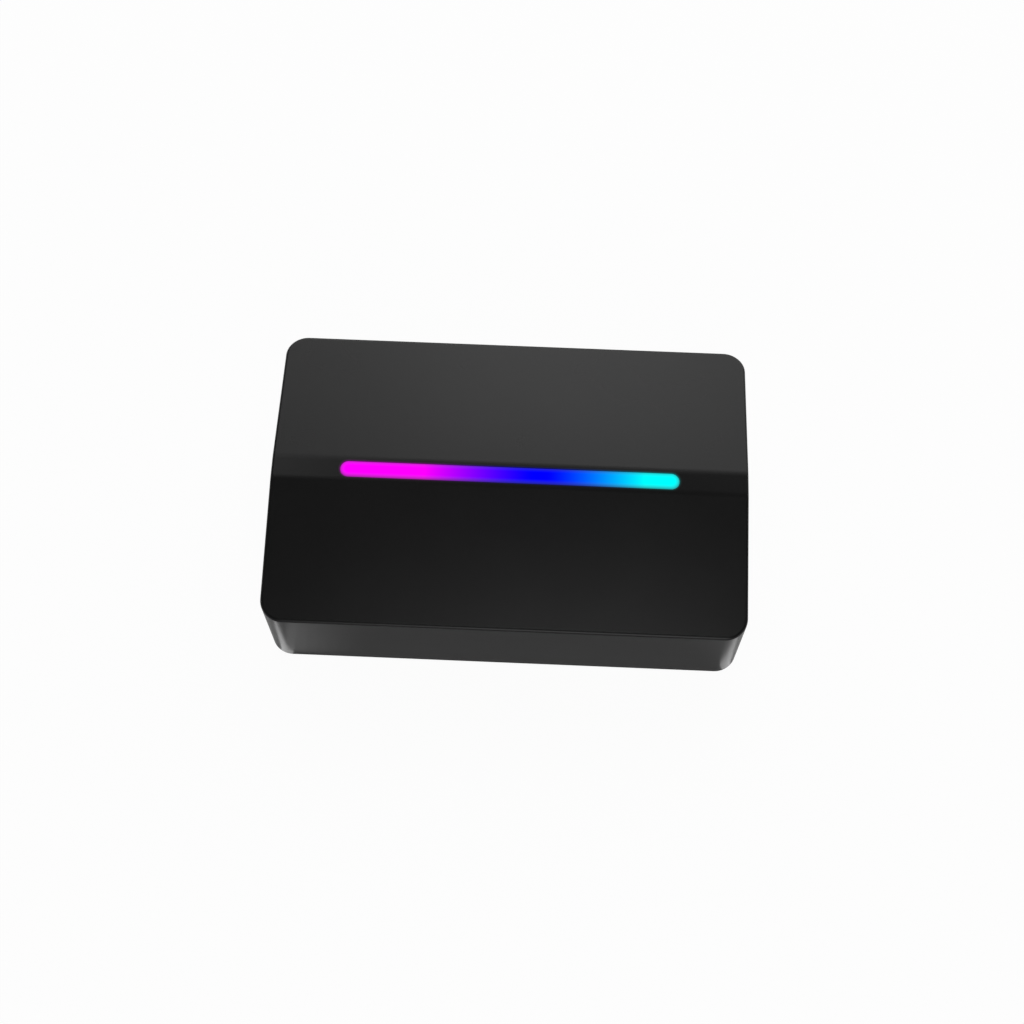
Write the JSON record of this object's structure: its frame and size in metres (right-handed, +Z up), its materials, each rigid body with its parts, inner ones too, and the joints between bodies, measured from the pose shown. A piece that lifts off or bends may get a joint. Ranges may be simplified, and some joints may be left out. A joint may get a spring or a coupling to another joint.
{
  "type": "video capture box",
  "caption": "Flat black desktop box with a two-slope roof and a lit bar along its ridge, sockets for video, computer and sound at the rear and a push button for the light.",
  "frame": {"origin": "on the surface the feet stand on, under the middle of the case", "axes": "+X to the right seen from the plain front, +Y to the rear where the sockets are, +Z up"},
  "size_m": [0.1, 0.066, 0.0266],
  "materials": {
    "case_plastic": "fine satin grain",
    "cover_plastic": "fine matt grain",
    "panel_plastic": "smooth satin",
    "button_plastic": "satin",
    "light_diffuser": "opal, lit from below",
    "foot_rubber": "matt",
    "screw_steel": "black oxide",
    "socket_steel": "nickel plated",
    "socket_insulator": "moulded",
    "contact_gold": "gold flash",
    "tinned_metal": "tinned",
    "board_laminate": "green solder mask",
    "lamp_board_laminate": "white solder mask",
    "chip_resin": "moulded",
    "thermal_silicone": "soft",
    "sink_aluminium": "extruded",
    "can_aluminium": "drawn",
    "ferrite": "pressed",
    "capacitor_ceramic": "fired",
    "lamp_resin": "white with clear dish",
    "connector_resin": "moulded",
    "cable_film": "laminated film"
  },
  "bodies": {
    "case": {"top_shell": "case_plastic", "light_bar": "light_diffuser", "bottom_cover": "cover_plastic", "rear_panel": "panel_plastic", "rubber_feet": "foot_rubber", "case_screws": "screw_steel", "main_board": "board_laminate", "board_screws": "screw_steel", "video_in_shell": "socket_steel", "video_in_insulator": "socket_insulator", "video_out_shell": "socket_steel", "video_out_insulator": "socket_insulator", "video_contacts": "contact_gold", "usb_shell": "socket_steel", "usb_insulator": "socket_insulator", "usb_contacts": "contact_gold", "microphone_jack": "socket_insulator", "headphone_jack": "socket_insulator", "jack_tags": "tinned_metal", "switch_body": "socket_insulator", "video_processor": "chip_resin", "thermal_pad": "thermal_silicone", "heat_sink": "sink_aluminium", "receiver_chip": "chip_resin", "transmitter_chip": "chip_resin", "bridge_chip": "chip_resin", "codec_chip": "chip_resin", "memory_chips": "chip_resin", "flash_chip": "chip_resin", "chip_leads": "tinned_metal", "power_inductors": "ferrite", "can_capacitors": "can_aluminium", "voltage_regulators": "chip_resin", "crystals": "tinned_metal", "chip_capacitors": "capacitor_ceramic", "chip_resistors": "chip_resin", "led_board": "lamp_board_laminate", "rgb_leds": "lamp_resin", "led_board_screws": "screw_steel", "board_cable_socket": "connector_resin", "led_cable_socket": "connector_resin", "flat_cable": "cable_film"},
    "mode_button": {"mode_button": "button_plastic", "switch_plunger": "connector_resin"}
  },
  "joints": [
    {"name": "mode_button_press", "type": "slide", "parent": "case", "child": "mode_button", "axis": [0, -1, 0], "range_m": [0, 0.0004], "stiffness_N_per_m": 2000}
  ]
}
